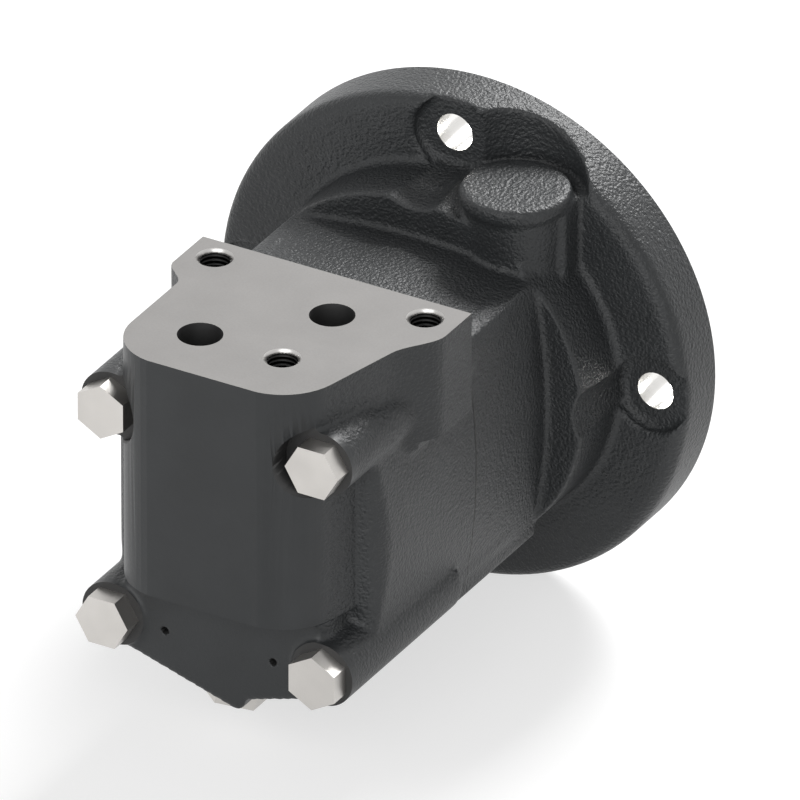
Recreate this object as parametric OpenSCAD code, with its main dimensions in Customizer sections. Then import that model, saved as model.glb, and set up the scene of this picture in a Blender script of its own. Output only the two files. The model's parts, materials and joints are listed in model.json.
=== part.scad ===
// Orbital hydraulic motor: roller gear set, disc valve and tapered output shaft.
// +Y runs along the shaft towards its free end, +Z is the normal of the port face,
// and the origin is on the shaft axis at the flange's mounting face. Millimetres.

/* [Flange] */
// Outer diameter of the mounting flange
flange_d = 186; // [180:1:196]
// Thickness of the flange between its rear face and the mounting face
flange_t = 23; // [21:0.5:26]
// Radius of the rounded rear edge of the rim
rim_round = 5; // [3:0.5:6]
// Distance of the flange holes' circle from the rim
mount_rim = 13; // [11:0.5:15]
// Diameter of a flange hole
mount_hole_d = 14; // [11:0.5:16]
// Radius of the spot-face round a flange hole
mount_seat_r = 14.2; // [12:0.2:15]
// Depth of that spot-face
mount_seat_depth = 4; // [2:0.1:5]
// Radius of the bolt clearance at the collar's rear face
mount_scallop_r = 16; // [15.2:0.2:18]
// Diameter of the pilot spigot
pilot_d = 125; // [118:1:130]
// Height of the pilot spigot
pilot_h = 9; // [7:0.5:11]

/* [Front casting] */
// Radius of the round collar behind the flange
collar_r = 67.4; // [64:0.2:69]
// Length of the collar
collar_len = 25.3; // [23:0.1:28]
// Radius of the fillet between collar and flange
collar_fillet = 3; // [1:0.5:4]
// Half width of the square body
body_half = 53.2; // [52:0.2:55]
// Length of the square body
body_len = 48.1; // [44:0.1:52]
// Radius of the gentle crown on each side of the body
body_crown_r = 230; // [200:10:300]
// Distance of the closed side boss from the shaft axis
boss_x = 32.1; // [30:0.5:34]
// Distance of the boss's axis behind the flange's rear face
boss_back = 10.1; // [9.5:0.1:11]
// Radius of the boss's head
boss_r = 19.7; // [18.5:0.1:20]
// Radius of the boss's neck
boss_neck_r = 17.8; // [16:0.1:18]
// Height of the boss's top above the shaft axis
boss_top = 75; // [73:0.5:77]
// Thickness of the boss's head
boss_head_t = 5; // [3:0.5:7]
// Radius of the recess in the rim round the boss
recess_r = 25; // [23:0.5:26]
// Height of the recess floor above the shaft axis
recess_floor = 70.5; // [69:0.5:72]

/* [Port housing] */
// Length of the bolt tubes behind the parting
tube_len = 86; // [84:0.5:90]
// Radius of a bolt tube
tube_r = 12; // [11:0.1:12.6]
// Radius of the pocket round a bolt head in the port block
pocket_r = 14; // [13:0.1:14.4]
// Length of the housing's square core behind the parting
core_len = 67.6; // [64:0.2:72]
// Radius of the core's rear upright edges
core_corner = 10; // [8:0.5:12]
// Height of the bolt seats over the lower rear face
seat_proud = 1.3; // [0.5:0.1:3]
// Depth of the bolt seats in the port block's rear face
block_overhang = 10.9; // [9:0.1:13]
// Length of the port block along the shaft
block_depth = 83.3; // [80:0.1:84]
// Height of the port face above the shaft axis
port_face = 69.9; // [68:0.1:72]
// Depth of the port block's lower edge under the shaft axis
block_drop = 22.9; // [20:0.1:25]
// Position of the block's left side
block_left = -39; // [-40:0.1:-38]
// Position of the left ear's side
ear_left = -47.5; // [-49:0.1:-46]
// Position of the right ear's side
ear_right = 58.8; // [58:0.1:60]
// Lower end of the right ear above the shaft axis
ear_bottom = 28; // [27:0.5:33]
// Radius of the block's left rear corner
corner_left_r = 20.2; // [19:0.1:21]
// Radius of the block's right rear corner
corner_right_r = 22.4; // [21:0.1:23]
// Depth of the keel's lowest edge under the shaft axis
keel_drop = 65; // [63:0.2:67]
// Slope of the keel's two lower faces
keel_angle = 16.7; // [14.5:0.1:18]
// Length of the keel's flat bottom
keel_len = 50; // [44:1:56]

/* [Ports] */
// Diameter of a work port
port_d = 16; // [14:0.5:17]
// Depth of a work port's bore
port_depth = 24; // [20:0.5:28]
// Radius of the passage from a port to its chamber
passage_r = 6.5; // [5:0.1:7]
// First port: distance from the shaft axis
port_a_x = -14.4; // [-16:0.1:-13]
// First port: distance from the block's rear face
port_a_back = 24.6; // [23:0.1:26]
// Second port: distance from the shaft axis
port_b_x = 18.1; // [17:0.1:19]
// Second port: distance from the block's rear face
port_b_back = 58.6; // [57:0.1:60]
// Diameter of the threaded holes in the port face
port_thread_d = 12; // [10:0.5:12]
// Depth of those holes
port_thread_depth = 14; // [12:0.5:15]
// Diameter of the chamfer at their mouths
port_chamfer_d = 14; // [13:0.5:15]
// Distance between the two threaded holes at the ears
ear_pitch = 83.4; // [82:0.1:85]
// Distance of the right ear's hole from the shaft axis
ear_hole_x = 46.7; // [46:0.1:47.5]
// Distance of the ear holes from the block's rear face
ear_hole_back = 72.8; // [71:0.1:74]
// Distance between the two plate pin holes in the lower rear face
plate_pitch = 43; // [40:0.5:45]
// Depth of those holes under the shaft axis
plate_drop = 43.3; // [42:0.1:45]
// Diameter of those holes
plate_hole_d = 2.8; // [2:0.1:3.2]

/* [Housing bolts] */
// Offset of each bolt from the two centre planes
bolt_offset = 41.7; // [41:0.1:42.2]
// Thread diameter of the bolts
bolt_d = 12; // [10:0.5:12]
// Width across the flats of the heads
bolt_head_w = 18; // [17:0.5:19]
// Height of the heads
bolt_head_h = 7.5; // [6.5:0.1:8]
// Length under the head
bolt_len = 110; // [104:1:114]
// Diameter of the clearance hole for a bolt
bolt_hole_d = 13.5; // [13:0.1:14]

/* [Gear set] */
// Number of rollers, one more than the star has lobes
roller_n = 7; // [7:1:7]
// Radius of the circle through the roller centres
roller_circle_r = 36; // [35.8:0.1:36.2]
// Radius of a roller
roller_r = 7; // [6.8:0.1:7.1]
// Eccentricity of the star
orbit_e = 3; // [2.8:0.05:3.1]
// Width of the gear set
gear_w = 28; // [26:0.5:30]
// Outer radius of the stator ring
stator_r = 47; // [46.5:0.1:47.4]
// Bore radius of the stator ring between the pockets
stator_bore_r = 35.6; // [35.4:0.1:35.8]
// Radius of the two dowels
dowel_r = 2.5; // [2:0.1:3]
// Distance of the dowels from the shaft axis
dowel_circle_r = 41.5; // [41:0.1:42.5]
// Thickness of the wear plate before the gear set
wear_t = 4.4; // [3.5:0.1:6]
// Thickness of the channel plate behind the gear set
channel_t = 10; // [9:0.5:11]
// Radius of the seven channels
channel_r = 2.7; // [2.2:0.1:2.8]
// Distance of the channels from the shaft axis
channel_circle_r = 32.3; // [32:0.1:32.6]

/* [Links and valve] */
// Number of spline teeth on each link end
spline_n = 12; // [12:1:12]
// Tip radius of the star's spline grooves
star_spline_r = 16; // [15.6:0.1:16.4]
// Radius of the lands between those grooves
star_land_r = 14; // [13.8:0.1:14.2]
// Tip radius of the valve disc's spline grooves
valve_spline_r = 11.6; // [11.4:0.1:11.8]
// Radius of the lands between those grooves
valve_land_r = 9.6; // [9.5:0.1:9.8]
// Width of a spline groove in the star
star_groove_w = 4.1; // [4:0.05:4.2]
// Width of a spline groove in the valve disc
valve_groove_w = 3.1; // [3:0.05:3.2]
// Radius of the drive link between its ends
drive_core_r = 9.5; // [8.5:0.1:10]
// Radius of the valve link between its ends
valve_core_r = 6; // [5.5:0.1:6.4]
// Radius of the valve disc
valve_r = 35.2; // [35:0.1:35.6]
// Thickness of the valve disc
valve_t = 16; // [15:0.5:17]
// Inner radius of the chamber round the valve disc
chamber_r = 38; // [37:0.5:40]
// Radius of the balance ring
balance_r = 29; // [28:0.5:30]
// Bore radius of the balance ring
balance_bore_r = 18; // [17:0.5:19]
// Length of the balance ring
balance_len = 24; // [22:0.5:25]
// Radius of the inner chamber behind the balance ring
inner_chamber_r = 22; // [21:0.5:23]

/* [Shaft and bearings] */
// Radius of the bearing journals
journal_r = 22.5; // [22.5:0.1:22.6]
// Outer radius of the bearings
bearing_r = 37.5; // [37.4:0.1:38]
// Width of one tapered bearing
bearing_t = 20; // [20:0.1:21]
// Width of a bearing cup
cup_t = 15.5; // [15:0.1:16]
// Mean radius of the rolling circle
rolling_r = 30; // [29.9:0.05:30.1]
// Number of tapered rollers in a bearing
taper_n = 18; // [16:1:19]
// Angle of the roller axes against the shaft
taper_axis_deg = 12; // [11.8:0.1:12.2]
// Half angle of a tapered roller
taper_half_deg = 1.5; // [1.4:0.05:1.5]
// Width of the shaft's collar between the bearings
shaft_collar_t = 6; // [5:0.5:8]
// Radius of that collar
shaft_collar_r = 27; // [26:0.5:28]
// Radius of the seal land
seal_land_r = 21; // [20.5:0.1:21.5]
// Large radius of the taper
taper_r = 17.5; // [16:0.1:18]
// Length of the 1:10 taper
taper_len = 38; // [34:1:40]
// Start of the taper in front of the mounting face
taper_start = 13; // [12:0.5:14]
// Thread radius at the shaft's end
thread_r = 10; // [9:0.1:11]
// Length of the thread
thread_len = 23; // [22:0.5:24]
// Width and height of the key
key_w = 6; // [5:0.5:7]
// Length of the key
key_len = 20; // [16:1:24]
// Depth of the keyway
keyway_depth = 3.5; // [3:0.1:4]
// Width across the flats of the castle nut
nut_w = 30; // [28:0.5:32]
// Height of the castle nut
nut_h = 17; // [16:0.5:18]
// Diameter of the split pin
split_pin_d = 3.8; // [3:0.1:4]
// Outer radius of the shaft seal and the wiper
seal_r = 31; // [30.5:0.1:32]
// Length of the shaft seal
seal_len = 9; // [8:0.5:10]
// Length of the dust wiper
wiper_len = 6; // [5:0.5:7]
// Thickness of the retaining ring
ring_t = 1.5; // [1.2:0.1:1.8]

/* [Drain plug] */
// Distance of the plug from the centre plane
plug_x = -5.3; // [-6.5:0.1:-4.5]
// Distance of the plug in front of the lower rear face
plug_back = 25; // [16:0.5:30]
// Half width of the ledge that carries the plug
ledge_half = 14.4; // [14:0.1:15]
// Radius of the ledge's lower edge
ledge_round = 3; // [2:0.5:4]
// Width across the flats of the plug's head
plug_w = 24; // [22:0.5:25]
// Thickness of the plug's head
plug_head_t = 9.5; // [8:0.2:11]
// Thickness of the washer under the head
plug_seal_t = 1.5; // [1:0.1:2]
// Radius of the plug's thread
plug_thread_r = 8; // [7:0.2:9]
// Length of the plug's thread
plug_thread_len = 11; // [9:0.5:12]
// Radius of the drain channel behind the plug
drain_r = 2.5; // [2:0.1:3.5]

/* [Clearances] */
// Radial play between fixed coaxial pieces
fit = 0.02; // [0.01:0.01:0.05]
// Radial running clearance
running = 0.05; // [0.03:0.01:0.08]
// Gap between the star and its rollers
mesh_gap = 0.12; // [0.1:0.01:0.15]
// Gap at the end faces of turning pieces
side_gap = 0.05; // [0.03:0.01:0.1]

/* [Hidden] */
$fn = 72;

// Stations along the shaft, from the mounting face backwards
y_rim = -flange_t;
y_collar = y_rim - collar_len;
y_parting = y_collar - body_len;
y_tube = y_parting - tube_len;
y_lower = y_tube + seat_proud;
y_block = y_tube - block_overhang;
y_core = y_parting - core_len;

// Stations of the inner stack
y_gear = y_parting + gear_w;
y_wear = y_gear + wear_t;
y_cup_seat = y_wear + 2 * bearing_t + shaft_collar_t;
y_channel = y_parting - channel_t;
y_valve = y_channel - side_gap - valve_t;
y_gear_mid = y_parting + gear_w / 2;

// Ring seal at the parting
oring_r = 49.4;
oring_wire_r = 1.15;
oring_depth = 2.4;

// Seats in the nose
web_t = 5;
web_bore_r = shaft_collar_r - 1;
y_seal = y_cup_seat + web_t;
y_ring = y_seal + seal_len;
y_wiper = pilot_h - 1 - wiper_len;
groove_r = seal_r + 1.6;

// Flange
flange_r = flange_d / 2;
mount_r = flange_r - mount_rim;
body_corner = body_half - bolt_offset;
edge = 1;
skin = 0.01;

// Port block outline, measured from the block's rear face
right_wall_slope = 0.243;
right_tangent = atan(right_wall_slope);
right_centre_x = 19.8;
neck_back = 46.6;
ear_back = 65.7;
neck_x = 48.7;
left_neck_back = 51.6;
left_ear_back = 62.6;

// Valve chambers
y_chamber = y_block + port_b_back - passage_r;
y_balance_seat = y_chamber - 10;
y_inner_end = y_block + port_a_back - passage_r;
y_balance = y_valve - side_gap;
seal_groove_back = 6;
seal_groove_w = 3;
seal_groove_depth = 2;
spring_t = 1.2;

// Links
drive_end_half = 5.5;
drive_stub = 0.7;
shaft_end_half = 8;
valve_star_half = 4;
valve_end_gap = 1.6;
valve_stub = 1.2;
valve_end_half = 4;
spacer_t = 3;
spacer_gap = 0.3;
spacer_r = star_land_r - 1;
drive_star_y = y_gear_mid + spacer_t / 2 + spacer_gap + drive_stub + drive_end_half;
valve_star_y = y_gear_mid - spacer_t / 2 - spacer_gap - valve_end_gap - valve_star_half;
drive_shaft_y = -30;
valve_disc_y = y_valve + 6;
drive_link_len = drive_shaft_y - drive_star_y;
valve_link_len = valve_star_y - valve_disc_y;
drive_tilt = asin(orbit_e / drive_link_len);
valve_tilt = asin(orbit_e / valve_link_len);
tip_play = 0.15;
tooth_play = 0.1;
shaft_spline_r = star_spline_r;
shaft_bore_r = star_land_r;

// Bearings
roller_mid = 8.5;
taper_len_roller = 12;
apex_reach = rolling_r / tan(taper_axis_deg);
apex_axis = rolling_r / sin(taper_axis_deg);
race_gap = 0.12;
cup_deg = taper_axis_deg + taper_half_deg;
cone_deg = taper_axis_deg - taper_half_deg;

// Shaft
y_shaft_rear = y_wear + 0.3;
y_taper_end = taper_start + taper_len;
y_shaft_end = y_taper_end + thread_len;
taper_small_r = taper_r - taper_len / 20;
y_nut = y_taper_end + 2;
y_pin = y_nut + nut_h - 4;

// Keel and plug
keel_z = -keel_drop;
ledge_depth = 9;
plug_y = y_lower + plug_back;
plug_z = keel_z - plug_x * tan(keel_angle);
drain_len = (-plug_z - inner_chamber_r + 4) / cos(keel_angle);

// Solid along Y between two stations, from an X-Z outline
module prism_y(y0, y1) {
    translate([0, y1, 0]) rotate([90, 0, 0]) linear_extrude(y1 - y0) children();
}

// Turned solid about the shaft axis, from a radius-Y outline
module lathe() {
    rotate([-90, 0, 0]) rotate_extrude() children();
}

// Round bar along Y
module rod(y0, y1, r, x = 0, z = 0) {
    translate([x, y0, z]) rotate([-90, 0, 0]) cylinder(h = y1 - y0, r = r);
}

// Round taper along Y
module cone_rod(y0, y1, r0, r1, x = 0, z = 0) {
    translate([x, y0, z]) rotate([-90, 0, 0]) cylinder(h = y1 - y0, r1 = r0, r2 = r1);
}

// Flat ring along Y
module washer(y0, y1, r_out, r_in) {
    difference() {
        rod(y0, y1, r_out);
        rod(y0 - edge, y1 + edge, r_in);
    }
}

// Places a copy at each of n equal steps about the shaft axis
module round_y(n) {
    for (i = [0 : n - 1]) rotate([0, i * 360 / n, 0]) children();
}

// Places a copy at each housing bolt
module at_bolts() {
    for (sx = [-1, 1], sz = [-1, 1])
        translate([sx * bolt_offset, 0, sz * bolt_offset]) children();
}

// Square section with corners concentric to the bolts and gently crowned sides
module body_section() {
    intersection() {
        union() {
            square([2 * body_half, 2 * bolt_offset], center = true);
            square([2 * bolt_offset, 2 * body_half], center = true);
            for (sx = [-1, 1], sz = [-1, 1])
                translate([sx * bolt_offset, sz * bolt_offset]) circle(body_corner);
        }
        translate([body_half - body_crown_r, 0]) circle(body_crown_r, $fn = 360);
        translate([body_crown_r - body_half, 0]) circle(body_crown_r, $fn = 360);
        translate([0, body_half - body_crown_r]) circle(body_crown_r, $fn = 360);
        translate([0, body_crown_r - body_half]) circle(body_crown_r, $fn = 360);
    }
}

// Concave fillet outline with its corner at the origin
module fillet_outline(r) {
    difference() {
        square(r);
        translate([r, r]) circle(r);
    }
}

// Flange, spigot and collar as one turned form
module flange_form() {
    lathe() difference() {
        union() {
            translate([0, y_rim]) square([flange_r, flange_t]);
            square([pilot_d / 2, pilot_h]);
            translate([0, y_collar]) square([collar_r, collar_len]);
            translate([collar_r, y_rim]) mirror([0, 1]) fillet_outline(collar_fillet);
        }
        translate([flange_r, y_rim]) mirror([1, 0]) fillet_outline(rim_round);
        translate([pilot_d / 2, pilot_h]) rotate(45) square(1.6, center = true);
    }
}

// Closed boss with a wider head, and the web that joins it to the flange
module side_boss() {
    translate([boss_x, y_rim - boss_back, 0]) {
        translate([0, 0, body_half - 8])
            cylinder(h = boss_top - boss_head_t - body_half + 8, r1 = boss_neck_r - 0.8, r2 = boss_neck_r);
        translate([0, 0, boss_top - boss_head_t - 2])
            cylinder(h = 2, r1 = boss_neck_r, r2 = boss_r);
        translate([0, 0, boss_top - boss_head_t])
            cylinder(h = boss_head_t - 1.2, r = boss_r);
        translate([0, 0, boss_top - 1.2])
            cylinder(h = 1.2, r1 = boss_r, r2 = boss_r - 1.2);
        translate([-boss_neck_r, 0, 0])
            cube([boss_neck_r + boss_r, boss_back + edge, recess_floor]);
    }
}

// Spot-faces, clearances and holes of the four flange bolts
module mount_cuts() {
    for (a = [0 : 90 : 270]) rotate([0, a, 0]) {
        rod(y_rim - edge, pilot_h + edge, mount_hole_d / 2, 0, mount_r);
        cone_rod(y_collar - skin, y_rim + mount_seat_depth, mount_scallop_r, mount_seat_r, 0, mount_r);
    }
}

// Bores of the front casting for bearings, seals and gear set
module front_bores() {
    rod(y_parting - edge, y_wear, stator_r + fit);
    rod(y_wear - edge, y_cup_seat, bearing_r + fit);
    rod(y_cup_seat - edge, y_seal + edge, web_bore_r);
    rod(y_seal, pilot_h + edge, seal_r + fit);
    rod(y_ring, y_ring + ring_t + 0.1, groove_r);
    at_bolts() rod(y_parting - edge, y_tube + bolt_len + 4, bolt_d / 2 + fit);
    washer(y_parting - edge, y_parting + oring_depth, oring_r + oring_wire_r + 0.35, oring_r - oring_wire_r - 0.35);
}

module front_casting() {
    color([0.24, 0.245, 0.25]) difference() {
        union() {
            difference() {
                flange_form();
                translate([boss_x, y_rim - boss_back, recess_floor])
                    cylinder(h = flange_r - recess_floor + edge, r = recess_r);
                mount_cuts();
            }
            prism_y(y_parting, y_collar + skin) body_section();
            side_boss();
        }
        rod(y_rim - edge, pilot_h + edge, mount_hole_d / 2, 0, mount_r);
        front_bores();
    }
}

// Smooth step of a wall between two positions, leaving with a given slope
function ease(t, a, b, slope, span) =
    a * (1 + 2 * t) * (1 - t) * (1 - t) + slope * span * t * (1 - t) * (1 - t) + b * t * t * (3 - 2 * t);

// Plan outline of the port block, X against distance from its rear face
function block_outline(right_limit) = concat(
    [for (a = [180 : 7.5 : 270])
        [block_left + corner_left_r + corner_left_r * cos(a), corner_left_r + corner_left_r * sin(a)]],
    [for (a = [270 : 7.5 : 345])
        [right_centre_x + corner_right_r * cos(a), corner_right_r + corner_right_r * sin(a)]],
    [for (i = [0 : 10]) let (t = i / 10)
        [min(right_limit, ease(t, neck_x, ear_right, right_wall_slope, ear_back - neck_back)),
         neck_back + t * (ear_back - neck_back)]],
    [[min(right_limit, ear_right), block_depth], [ear_left, block_depth]],
    [for (i = [0 : 6]) let (t = 1 - i / 6)
        [ease(t, block_left, ear_left, 0, left_ear_back - left_neck_back),
         left_neck_back + t * (left_ear_back - left_neck_back)]]
);

// Upright solid of the block outline between two heights
module block_prism(z0, z1, right_limit) {
    translate([0, y_block, z0]) linear_extrude(z1 - z0) polygon(block_outline(right_limit));
}

// Plan outline of the square core with rounded rear edges
module core_plan() {
    translate([-body_half, y_core + core_corner]) square([2 * body_half, core_len - core_corner]);
    translate([core_corner - body_half, y_core]) square([2 * (body_half - core_corner), core_len]);
    for (s = [-1, 1])
        translate([s * (body_half - core_corner), y_core + core_corner]) circle(core_corner);
}

module core_form() {
    intersection() {
        prism_y(y_core, y_parting) body_section();
        translate([0, 0, -body_half]) linear_extrude(2 * body_half) core_plan();
    }
}

// V-shaped section of the keel
module keel_section() {
    reach = bolt_offset;
    rise = reach * tan(keel_angle);
    polygon([[0, keel_z], [reach, keel_z + rise], [reach, -block_drop + edge],
        [-reach, -block_drop + edge], [-reach, keel_z + rise]]);
}

// Side view of the keel: flat bottom, then a rise to the parting
module keel_side() {
    rise_end = -body_half + 2;
    polygon([[y_lower, -block_drop + edge], [y_lower, keel_z - edge], [y_lower + keel_len, keel_z - edge],
        [y_lower + keel_len + 14, rise_end], [y_lower + keel_len + 14, -block_drop + edge]]);
}

module keel_form() {
    intersection() {
        prism_y(y_lower, y_parting) keel_section();
        translate([-body_half, 0, 0]) rotate([90, 0, 90]) linear_extrude(2 * body_half) keel_side();
        union() {
            block_prism(keel_z - edge, 0, neck_x);
            translate([0, 0, keel_z - edge]) linear_extrude(keel_drop) core_plan();
        }
    }
}

// Frame of the drain plug: local Z points into the casting
module at_plug() {
    translate([plug_x, plug_y, plug_z]) rotate([0, keel_angle, 0]) children();
}

// Section of the plug's ledge, its lower edge rounded
module ledge_section() {
    square([ledge_half - ledge_round, ledge_depth]);
    translate([0, ledge_round]) square([ledge_half, ledge_depth - ledge_round]);
    translate([ledge_half - ledge_round, ledge_round]) circle(ledge_round);
}

// Bores of the port housing
module port_bores() {
    rod(y_channel, y_parting + edge, stator_r + fit);
    rod(y_chamber, y_channel + edge, chamber_r);
    rod(y_balance_seat, y_chamber + edge, balance_r + running);
    rod(y_inner_end, y_balance_seat + edge, inner_chamber_r);
    for (p = [[port_a_x, port_a_back], [port_b_x, port_b_back]]) translate([p[0], y_block + p[1], 0]) {
        cylinder(h = port_face, r = passage_r);
        translate([0, 0, port_face - port_depth]) cylinder(h = port_depth + edge, r = port_d / 2);
    }
    at_bolts() rod(y_tube - edge, y_parting + edge, bolt_hole_d / 2);
    for (a = [1, 7]) rotate([0, a * 180 / roller_n, 0])
        rod(y_channel - 6, y_channel + edge, dowel_r + fit, 0, dowel_circle_r);
    for (p = [[ear_hole_x, ear_hole_back], [ear_hole_x - ear_pitch, ear_hole_back], [port_b_x, port_a_back]])
        translate([p[0], y_block + p[1], port_face]) {
            translate([0, 0, -port_thread_depth])
                cylinder(h = port_thread_depth + edge, r = port_thread_d / 2);
            translate([0, 0, (port_thread_d - port_chamfer_d) / 2])
                cylinder(h = (port_chamfer_d - port_thread_d) / 2 + skin,
                    r1 = port_thread_d / 2, r2 = port_chamfer_d / 2 + skin);
        }
    for (s = [-1, 1])
        rod(y_lower - edge, y_lower + 8, plate_hole_d / 2, s * plate_pitch / 2, -plate_drop);
    at_plug() {
        translate([0, 0, -edge]) cylinder(h = plug_thread_len + 2 + edge, r = plug_thread_r + fit);
        cylinder(h = drain_len, r = drain_r);
    }
}

module port_housing() {
    color([0.24, 0.245, 0.25]) difference() {
        union() {
            difference() {
                union() {
                    block_prism(-block_drop, ear_bottom, neck_x);
                    block_prism(ear_bottom - skin, port_face, ear_right + edge);
                }
                for (s = [-1, 1])
                    rod(y_block - edge, y_tube, pocket_r, s * bolt_offset, bolt_offset);
            }
            core_form();
            keel_form();
            at_bolts() rod(y_tube, y_parting, tube_r);
            at_plug() prism_y(-plug_back, ledge_half) ledge_section();
        }
        port_bores();
    }
}

// One hexagon bolt, its head's underside at y_tube
module hex_bolt(turn) {
    rotate([0, turn, 0]) translate([0, y_tube - bolt_head_h, 0]) rotate([-90, 0, 0])
        cylinder(h = bolt_head_h, r = bolt_head_w / sqrt(3), $fn = 6);
    rod(y_tube - skin, y_tube + bolt_len - 1.5, bolt_d / 2);
    cone_rod(y_tube + bolt_len - 1.5, y_tube + bolt_len, bolt_d / 2, bolt_d / 2 - 1.5);
}

module housing_bolts() {
    half_step = 360 / 12;
    color([0.8, 0.79, 0.77]) for (sx = [-1, 1], sz = [-1, 1])
        translate([sx * bolt_offset, 0, sz * bolt_offset]) hex_bolt(sx * sz < 0 ? half_step : 0);
}

module parting_seal() {
    color([0.1, 0.1, 0.1]) lathe()
        translate([oring_r, y_parting + oring_depth / 2]) circle(oring_wire_r, $fn = 24);
}

module dowel_holes(y0, y1) {
    for (a = [1, 7]) rotate([0, a * 180 / roller_n, 0]) rod(y0, y1, dowel_r + fit, 0, dowel_circle_r);
}

module stator_ring() {
    color([0.55, 0.56, 0.58]) difference() {
        rod(y_parting, y_gear, stator_r);
        rod(y_parting - edge, y_gear + edge, stator_bore_r);
        round_y(roller_n) rod(y_parting - edge, y_gear + edge, roller_r + running, 0, roller_circle_r);
        dowel_holes(y_parting - edge, y_gear + edge);
    }
}

module stator_dowels() {
    color([0.7, 0.7, 0.72]) for (a = [1, 7]) rotate([0, a * 180 / roller_n, 0])
        rod(y_channel - 5.5, y_wear - 0.5, dowel_r, 0, dowel_circle_r);
}

module wear_plate() {
    color([0.6, 0.55, 0.4]) difference() {
        washer(y_gear, y_wear, stator_r, 19.5);
        dowel_holes(y_gear - edge, y_wear + edge);
    }
}

module channel_plate() {
    color([0.58, 0.58, 0.6]) difference() {
        washer(y_channel, y_parting, stator_r, 14.5);
        rotate([0, 180 / roller_n, 0]) round_y(roller_n)
            rod(y_channel - edge, y_parting + edge, channel_r, 0, channel_circle_r);
        dowel_holes(y_channel - edge, y_parting + edge);
    }
}

// Roller number k of the gear set; number 1 stands above the shaft
module gear_roller(k) {
    color([0.75, 0.75, 0.77]) rotate([0, (k - 1) * 360 / roller_n, 0]) {
        rod(y_parting + side_gap + 0.5, y_gear - side_gap - 0.5, roller_r, 0, roller_circle_r);
        cone_rod(y_parting + side_gap, y_parting + side_gap + 0.5, roller_r - 0.5, roller_r, 0, roller_circle_r);
        cone_rod(y_gear - side_gap - 0.5, y_gear - side_gap, roller_r, roller_r - 0.5, 0, roller_circle_r);
    }
}

// Point of the star's flank: inward parallel curve of the roller centres' path
function star_point(a, n, gap) =
    let (lobes = n - 1,
        px = roller_circle_r * sin(a) - orbit_e * sin(n * a),
        pz = roller_circle_r * cos(a) - orbit_e * cos(n * a),
        nx = roller_circle_r * sin(a) - n * orbit_e * sin(n * a),
        nz = roller_circle_r * cos(a) - n * orbit_e * cos(n * a),
        m = sqrt(nx * nx + nz * nz))
    [px - (roller_r + gap) * nx / m, pz - (roller_r + gap) * nz / m];

// Internal spline: lands' bore and grooves between two stations
module spline_cut(y0, y1, groove_r, land_r, groove_w) {
    rod(y0, y1, land_r);
    round_y(spline_n / 2) translate([-groove_w / 2, y0, -groove_r]) cube([groove_w, y1 - y0, 2 * groove_r]);
}

module rotor_star() {
    star_step = 2;
    color([0.68, 0.68, 0.7]) translate([0, 0, orbit_e]) difference() {
        prism_y(y_parting + side_gap, y_gear - side_gap)
            polygon([for (a = [0 : star_step : 360 - star_step]) star_point(a, roller_n, mesh_gap)]);
        spline_cut(y_parting - edge, y_gear + edge, star_spline_r, star_land_r, star_groove_w);
    }
}

module link_spacer() {
    color([0.6, 0.5, 0.3]) translate([0, 0, orbit_e])
        rod(y_gear_mid - spacer_t / 2, y_gear_mid + spacer_t / 2, spacer_r);
}

// Radius-Y outline of a crowned drum of half length hl
module drum_outline(r, hl, tilt) {
    crown = hl * hl / (2 * (hl * sin(tilt) + tip_play));
    intersection() {
        translate([0, -hl]) square([r, 2 * hl]);
        translate([r - crown, 0]) circle(crown, $fn = 180);
    }
}

// Crowned external spline centred on the origin, along Y
module crowned_spline(groove_r, land_r, groove_w, hl, tilt) {
    tip = groove_r - tip_play;
    root = land_r - 2 * tip_play;
    mid_half = groove_w / 2 - tooth_play;
    end_half = mid_half - hl * sin(tilt);
    intersection() {
        lathe() drum_outline(tip, hl, tilt);
        union() {
            lathe() drum_outline(root, hl, tilt);
            round_y(spline_n / 2) translate([0, 0, -tip - edge]) linear_extrude(2 * tip + 2 * edge)
                polygon([[mid_half, 0], [end_half, hl], [-end_half, hl],
                    [-mid_half, 0], [-end_half, -hl], [end_half, -hl]]);
        }
    }
}

module drive_link() {
    end_r = star_land_r - 4;
    color([0.62, 0.62, 0.64]) translate([0, drive_shaft_y, 0]) rotate([-drive_tilt, 0, 0]) {
        crowned_spline(shaft_spline_r, shaft_bore_r, star_groove_w, shaft_end_half, drive_tilt);
        translate([0, -drive_link_len, 0])
            crowned_spline(star_spline_r, star_land_r, star_groove_w, drive_end_half, drive_tilt);
        rod(-drive_link_len, 0, drive_core_r);
        cone_rod(-shaft_end_half - 5, -shaft_end_half + 1, drive_core_r, end_r + 2);
        cone_rod(-drive_link_len - drive_end_half - drive_stub, -drive_link_len - drive_end_half + edge,
            4, end_r - 2);
    }
}

module valve_link() {
    color([0.62, 0.62, 0.64]) translate([0, valve_disc_y, 0]) rotate([valve_tilt, 0, 0]) {
        crowned_spline(valve_spline_r, valve_land_r, valve_groove_w, valve_end_half, valve_tilt);
        translate([0, valve_link_len, 0])
            crowned_spline(star_spline_r, star_land_r, star_groove_w, valve_star_half, valve_tilt);
        rod(0, valve_link_len, valve_core_r);
        cone_rod(valve_link_len + valve_star_half - edge, valve_link_len + valve_star_half + valve_stub,
            valve_core_r, valve_core_r / 2);
    }
}

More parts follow.
